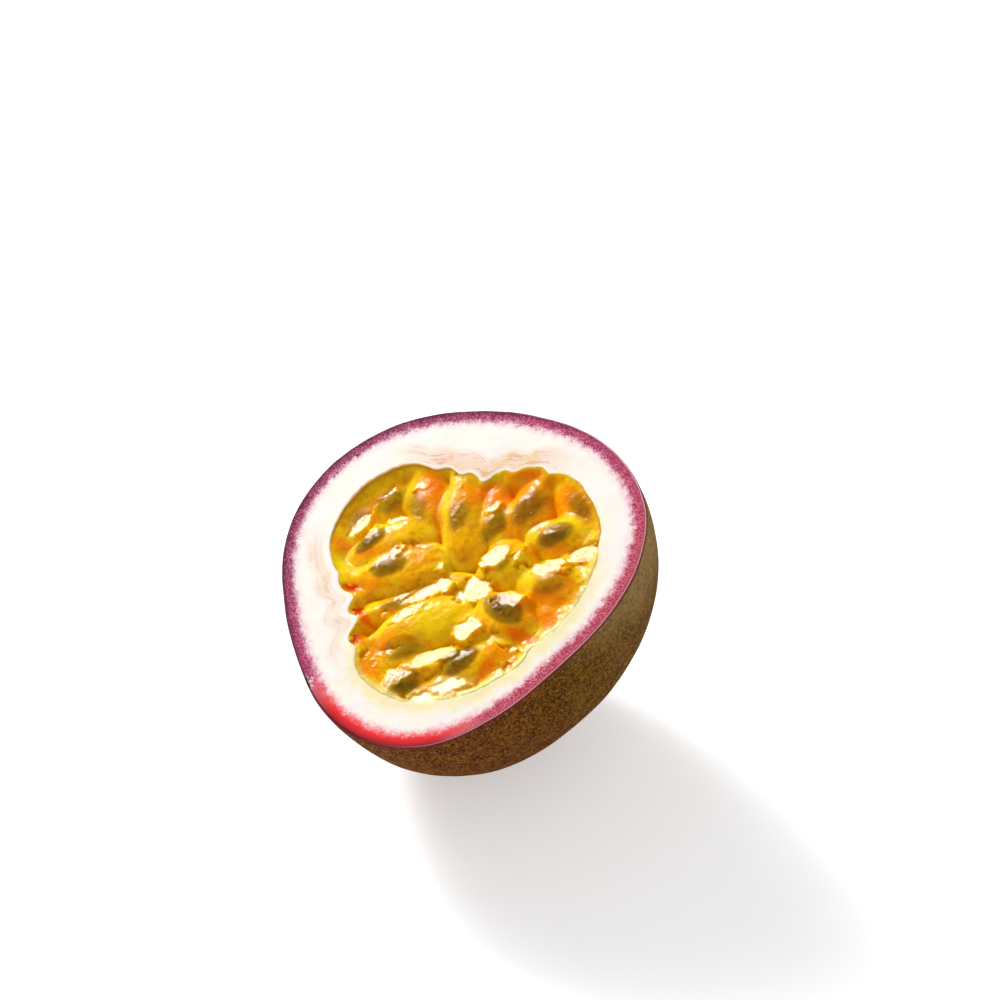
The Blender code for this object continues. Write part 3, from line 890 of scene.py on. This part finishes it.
co = read_vertices(pulp_mesh)
wider = abs(co[:, 0]) >= abs(co[:, 1])
main = np.where(wider, co[:, 0], co[:, 1])
other = np.where(wider, co[:, 1], co[:, 0])
square = abs(main)
turn_in = other / np.where(square == 0, 1, main) * math.pi / 4
angle = np.where(wider, turn_in, math.pi / 2 - turn_in) + np.where(main < 0, math.pi, 0)
depth = np.minimum(co[:, 2], 0)
share = np.clip(-depth / (floor_depth - PULP_GAP), 0, 1)
roundness = np.sqrt(1 - share ** 2)
wall_at = CAVITY_RADIUS * roundness * lobed(angle, roundness * CAVITY_LOBES)
wall_at = wall_at - ridge_height(angle) * roundness ** 2 + ragged_line(angle) * roundness
reach_out = wall_at + np.where(depth < 0, -PULP_GAP, PULP_GAP)
x = square * reach_out * np.cos(angle)
y = square * reach_out * np.sin(angle)

places = np.stack([x, y, 0 * x], 1)
bent_x, bent_y = bent(x, y)
height, seam, outline, streak_along, streak_across = sac_surface(bent_x, bent_y)
open_gap = wall_at - stalk_reach(angle) - square * reach_out
wall_gap = np.clip(open_gap, 0, None)
upper_left = np.exp(-(gap_between(angle, 172) / 38) ** 2)
stalk_side = np.exp(-(gap_between(angle, 240) / 30) ** 2)
low_wall = -LOW_WALL - LOWER_WALL * upper_left
height = height + np.clip(low_wall - height, 0, None) * np.exp(-(wall_gap / (WALL_FILL + stalk_side)) ** 2)

# Films and pits are torn: their outlines jump from one small shard to the next
shard = np.array([noise.voronoi(Vector(point) / SHARD_SIZE)[1][0] for point in places])
torn_x = x + wobbles(places, TORN_X) + wobbles(shard, SHARD_X)
torn_y = y + wobbles(places, TORN_Y) + wobbles(shard, SHARD_Y)
seed_core_and_shade = np.zeros(len(x))
seed_body = np.zeros(len(x))
for mid_x, mid_y, heading, length, blur, dark in SEEDS:
    reach = reach_from(x, y, mid_x, mid_y, heading, length, length * SEED_SHAPE)
    height = height + SEED_RISE * (1 - blur) * np.exp(-(reach / 0.9) ** 4)
    seed_body = np.maximum(seed_body, dark * falling(reach, 1 - 0.6 * blur, 1.05 + 1.2 * blur))
    # The dark core is set toward each seed's lower side: painted shade
    reach = reach_from(x, y, mid_x + 0.25, mid_y - 0.20, heading, length * 0.85, length * SEED_SHAPE * 0.8)
    seed_core_and_shade = np.maximum(seed_core_and_shade, dark * (1 - 0.6 * blur) * falling(reach, 0.35 - 0.3 * blur, 1.0 + blur))
pit = np.zeros(len(x))
for mid_x, mid_y in PITS:
    pit = np.maximum(pit, np.exp(-(np.hypot(torn_x - mid_x, torn_y - mid_y) / PIT_RADIUS) ** 2))
height = height - PIT_DEPTH * pit
rippled = np.clip(3 * wobble(places, 2.4, 25), 0, 1)
height = height + wobbles(places, SAC_WAVES) + (0.015 + 0.05 * rippled) * wobble(places, 0.55, 26)

# Each film of juice is a nearly flat patch, at the height of what it lies on
films = np.array(JUICE_FILMS)
film_level = sac_surface(*bent(films[:, 0], films[:, 1]))[0] + FILM_LIFT
film_wave = wobbles(places, FILM_WAVES)
film_share = np.zeros(len(x))
for (mid_x, mid_y, heading, length, width), level in zip(JUICE_FILMS, film_level):
    along, across = along_and_across(torn_x, torn_y, mid_x, mid_y, heading)
    squared = abs(2 * along / length) ** FILM_SQUARENESS + abs(2 * across / width) ** FILM_SQUARENESS
    reach = squared ** (1 / FILM_SQUARENESS)
    soft = 2 * FILM_EDGE / width
    share = falling(reach, 1 - soft, 1 + soft)
    plane = level + JUICE_SLOPE[0] * (x - mid_x) + JUICE_SLOPE[1] * (y - mid_y) + film_wave
    height = height + (plane - height) * share
    film_share = np.maximum(film_share, share)

tints = {name: np.zeros(len(x)) for name in ("yellow", "orange", "brown", "red", "olive", "pale")}
for mid_x, mid_y, heading, length, width, tint, strength in TINTS:
    reach = reach_from(bent_x, bent_y, mid_x, mid_y, heading, length * 1.25, width * 1.5)
    tints[tint] = np.maximum(tints[tint], strength * falling(reach, 0.35, 1.15))

# Under the pith's edge the pulp dips, so that it never shows on top of it
height = height - TUCK_DEPTH * np.clip((-open_gap - TUCK_FROM) / TUCK_FROM, 0, 1)
new_height = np.where(depth < 0, depth, np.minimum(height, PULP_TOP))
pulp_mesh.vertices.foreach_set("co", stand_in_part(np.stack([x, y, new_height], 1)).ravel())
marks = {
    "seed_core_and_shade": seed_core_and_shade,
    "seed_body": seed_body,
    "seam": seam,
    "outline": outline,
    "streak_along": streak_along,
    "streak_across": streak_across,
    "pit": pit,
    "film": film_share,
    "from_wall": wall_gap,
}
for name, values in (marks | tints).items():
    pulp_mesh.attributes.new(name, "FLOAT", "POINT").data.foreach_set("value", values)
pulp_mesh.shade_smooth()
pulp = bpy.data.objects.new("pulp_sacs", pulp_mesh)
bpy.context.collection.objects.link(pulp)

# The jelly: golden and glossy, with light scattered inside it, olive-brown seeds that show
# through with painted shade on their lower side, redder tones in the pits, painted shade in the
# seams, a painted glow toward the sacs' outlines, painted highlights on some films of juice, and
# threads in its wet skin with painted glints
GOLD = ((0.90, 0.38, 0.0), (1.0, 0.51, 0.0))
STREAK_LIGHT = (0.98, 0.62, 0.006)
STREAK_DARK = (0.58, 0.25, 0.001)
MOTTLE_LIGHT = (1.0, 0.68, 0.006)
MOTTLE_DARK = (0.66, 0.24, 0.0)
SAC_EDGE_GLOW = (0.98, 0.66, 0.010)
TINT_COLOURS = (
    # Name, share, colour
    ("yellow", 0.9, (1.0, 0.66, 0.002)),
    ("orange", 0.9, (1.0, 0.29, 0.0)),
    # Brown, partly painted shade in creases and along the wall
    ("brown", 0.8, (0.74, 0.22, 0.0)),
    ("red", 0.9, (0.96, 0.16, 0.0)),
    ("olive", 0.8, (0.34, 0.23, 0.003)),
)
SEAM_SHADE = (0.70, 0.18, 0.0)
PALE_HIGHLIGHT = (0.93, 0.80, 0.46)
SEED_SHADE = (0.34, 0.31, 0.3)
KERNEL = ((0.105, 0.050, 0.001), (0.24, 0.125, 0.002))
PIT_RED = (0.78, 0.060, 0.001)
WALL_ORANGE = (0.95, 0.45, 0.004)
CREAMY_JUICE = (0.95, 0.78, 0.32)
THREAD_GLINT = (1.0, 0.66, 0.01)

jelly = Finish(
    "jelly",
    IOR=1.35,
    Specular_IOR_Level=0.08,
    Coat_Roughness=0.02,
    Coat_IOR=1.35,
    Subsurface_Weight=0.9,
    Subsurface_Scale=1.4 * MM,
)
jelly.shader.inputs["Subsurface Radius"].default_value = (1.0, 0.80, 0.15)
place = fruit_place(jelly)
cloud = speckle(jelly, place, 0.28, 3.0, 0.6)
fibre = speckle(jelly, place, 1.2, 4.0, 0.65)
streak_place = jelly.add("ShaderNodeCombineXYZ", None, {
    "X": from_attribute(jelly, "streak_along") * 0.22,
    "Y": from_attribute(jelly, "streak_across") * 0.9,
    "Z": cloud * 2.0,
})
streaks = speckle(jelly, streak_place, 1.0, 2.0, 0.5)
colour = jelly.mix(cloud.rising(0.36, 0.60), *GOLD)
colour = jelly.mix(streaks.rising(0.50, 0.66) * 0.7, colour, STREAK_LIGHT)
colour = jelly.mix(streaks.rising(0.46, 0.32) * 0.5, colour, STREAK_DARK)
mottle = speckle(jelly, place, 0.9, 4.0, 0.72)
colour = jelly.mix(mottle.rising(0.53, 0.63) * 0.6, colour, MOTTLE_LIGHT)
colour = jelly.mix(mottle.rising(0.46, 0.36) * 0.5, colour, MOTTLE_DARK)
outline = from_attribute(jelly, "outline")
# A painted glow: the sacs are lighter yellow toward their outlines, as where light shines through thin jelly
colour = jelly.mix(outline.rising(0.60, 0.95) * cloud.rising(0.35, 0.55) * 0.7, colour, SAC_EDGE_GLOW)
for name, most, tint_colour in TINT_COLOURS:
    colour = jelly.mix(from_attribute(jelly, name) * most, colour, tint_colour)
seam = from_attribute(jelly, "seam")
# Painted shade: the seams between the sacs are darkened toward orange-brown
colour = jelly.mix(seam.rising(0.5, 1.0) * cloud.rising(0.45, 0.6) * 0.45, colour, SEAM_SHADE)
# Pale cream patches laid over some films of juice: a painted highlight
colour = jelly.mix(from_attribute(jelly, "pale") * (0.5 + 0.5 * fibre), colour, PALE_HIGHLIGHT)

# The seeds show through darkly, most in a core set toward their lower side as painted shade, and the pits at
# the stalks are red
body = from_attribute(jelly, "seed_body")
core = from_attribute(jelly, "seed_core_and_shade")
colour = jelly.mix(body.rising(0.0, 1.0) * 0.9, colour, SEED_SHADE, "MULTIPLY")
kernel = jelly.mix(fibre.rising(0.4, 0.6), *KERNEL)
colour = jelly.mix(core.rising(0.0, 1.1), colour, kernel)
colour = jelly.mix(from_attribute(jelly, "pit").rising(0.15, 0.6), colour, PIT_RED)

# Along the wall the juice is orange, and creamy on the lower side, where most of it runs to
from_wall = from_attribute(jelly, "from_wall")
colour = jelly.mix(from_wall.rising(0.9, 0.0) * 0.5, colour, WALL_ORANGE)
low_side = near_turn(turn_of(jelly, place), 335, 80)
creamy = low_side * (from_wall + fibre * 1.6).rising(2.0, 0.7)
colour = jelly.mix(creamy * 0.85, colour, CREAMY_JUICE)

# The wet skin has shallow relief, less on the films of juice, and fine threads, painted with golden glints
film = from_attribute(jelly, "film")
glinting = speckle(jelly, place, 0.5, 2.0, 0.5).rising(0.44, 0.58)
relief = speckle(jelly, place, 1.3, 3.0, 0.55) * (0.3 + 0.7 * glinting) * (1 - film * 0.7)
thread = speckle(jelly, place, 0.75, 2.0, 0.6) - 0.5
wrinkle = jelly.math("ABSOLUTE", thread).rising(0.030, 0.0) * (0.15 + 0.85 * glinting)
relief = relief + wrinkle * 0.35
# Painted glints: the threads are lightened gold in the base colour
colour = jelly.mix(wrinkle * 0.2 * (1 - body), colour, THREAD_GLINT)
marks = speckle(jelly, place, 1.7, 3.0, 0.7)
pulp_mesh.materials.append(jelly.surface(
    Base_Color=colour,
    Roughness=0.03 + 0.09 * marks.rising(0.50, 0.68),
    Coat_Weight=0.42 - 0.34 * marks.rising(0.48, 0.56),
    Normal=bump(jelly, relief, 0.14),
))

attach(pulp, "root")
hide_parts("pulp")
